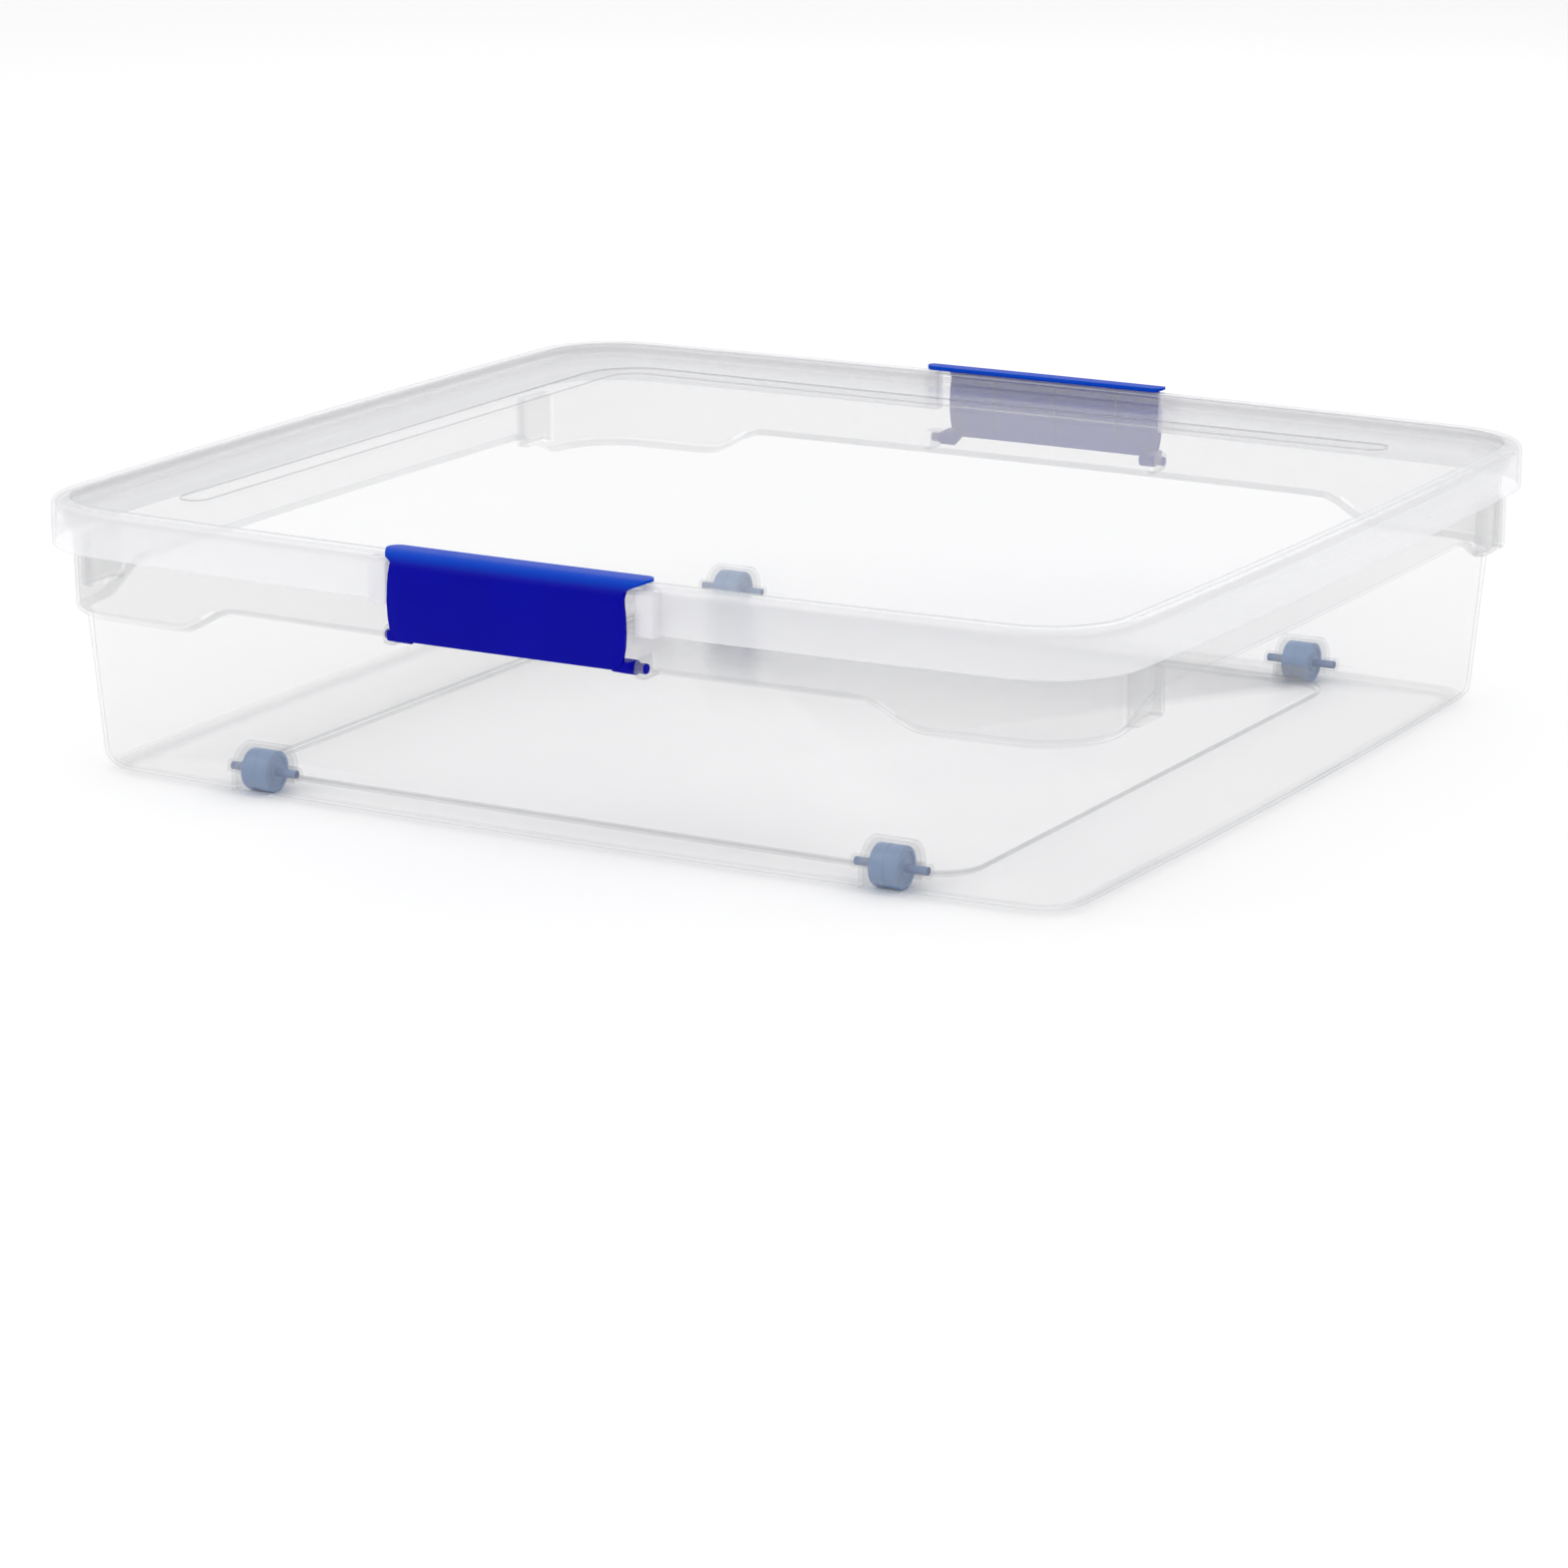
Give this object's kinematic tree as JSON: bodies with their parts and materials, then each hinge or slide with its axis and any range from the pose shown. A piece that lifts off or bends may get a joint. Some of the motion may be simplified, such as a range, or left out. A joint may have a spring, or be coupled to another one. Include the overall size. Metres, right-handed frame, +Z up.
{
  "type": "under-bed storage box",
  "caption": "Shallow clear storage box with rounded corners, a lift-off lid held by a snap latch on each long side, and small rollers under the base.",
  "frame": {"origin": "centre of the footprint, on the floor under the rollers", "axes": "+X along the latch sides, +Y towards the rear latch, +Z up"},
  "size_m": [0.7238, 0.684, 0.171],
  "materials": {
    "tub_clear": "clear polypropylene, lightly milky",
    "lid_clear": "clear polypropylene, lightly milky",
    "latch_blue": "solid royal blue moulding",
    "wheel_blue": "solid blue moulding",
    "axle_blue": "plain plastic pin"
  },
  "bodies": {
    "box": {"tub": "tub_clear", "axle_front_left": "axle_blue", "axle_front_right": "axle_blue", "axle_rear_left": "axle_blue", "axle_rear_right": "axle_blue"},
    "lid": {"lid": "lid_clear"},
    "latch_front": {"latch_front": "latch_blue"},
    "latch_rear": {"latch_rear": "latch_blue"},
    "wheel_front_left": {"wheel_front_left": "wheel_blue"},
    "wheel_front_right": {"wheel_front_right": "wheel_blue"},
    "wheel_rear_left": {"wheel_rear_left": "wheel_blue"},
    "wheel_rear_right": {"wheel_rear_right": "wheel_blue"}
  },
  "joints": [
    {"name": "lid_lift", "type": "slide", "parent": "box", "child": "lid", "axis": [0, 0, 1], "range_m": [0, 0.12]},
    {"name": "latch_front_hinge", "type": "hinge", "parent": "box", "child": "latch_front", "pos_m": [0, -0.33, 0.121], "axis": [1, 0, 0], "range_deg": [0, 110]},
    {"name": "latch_rear_hinge", "type": "hinge", "parent": "box", "child": "latch_rear", "pos_m": [0, 0.33, 0.121], "axis": [-1, 0, 0], "range_deg": [0, 110]},
    {"name": "wheel_front_left_spin", "type": "hinge", "parent": "box", "child": "wheel_front_left", "pos_m": [-0.211, -0.2765, 0.0125], "axis": [1, 0, 0], "continuous": true},
    {"name": "wheel_front_right_spin", "type": "hinge", "parent": "box", "child": "wheel_front_right", "pos_m": [0.211, -0.2765, 0.0125], "axis": [1, 0, 0], "continuous": true},
    {"name": "wheel_rear_left_spin", "type": "hinge", "parent": "box", "child": "wheel_rear_left", "pos_m": [-0.211, 0.2765, 0.0125], "axis": [1, 0, 0], "continuous": true},
    {"name": "wheel_rear_right_spin", "type": "hinge", "parent": "box", "child": "wheel_rear_right", "pos_m": [0.211, 0.2765, 0.0125], "axis": [1, 0, 0], "continuous": true}
  ]
}
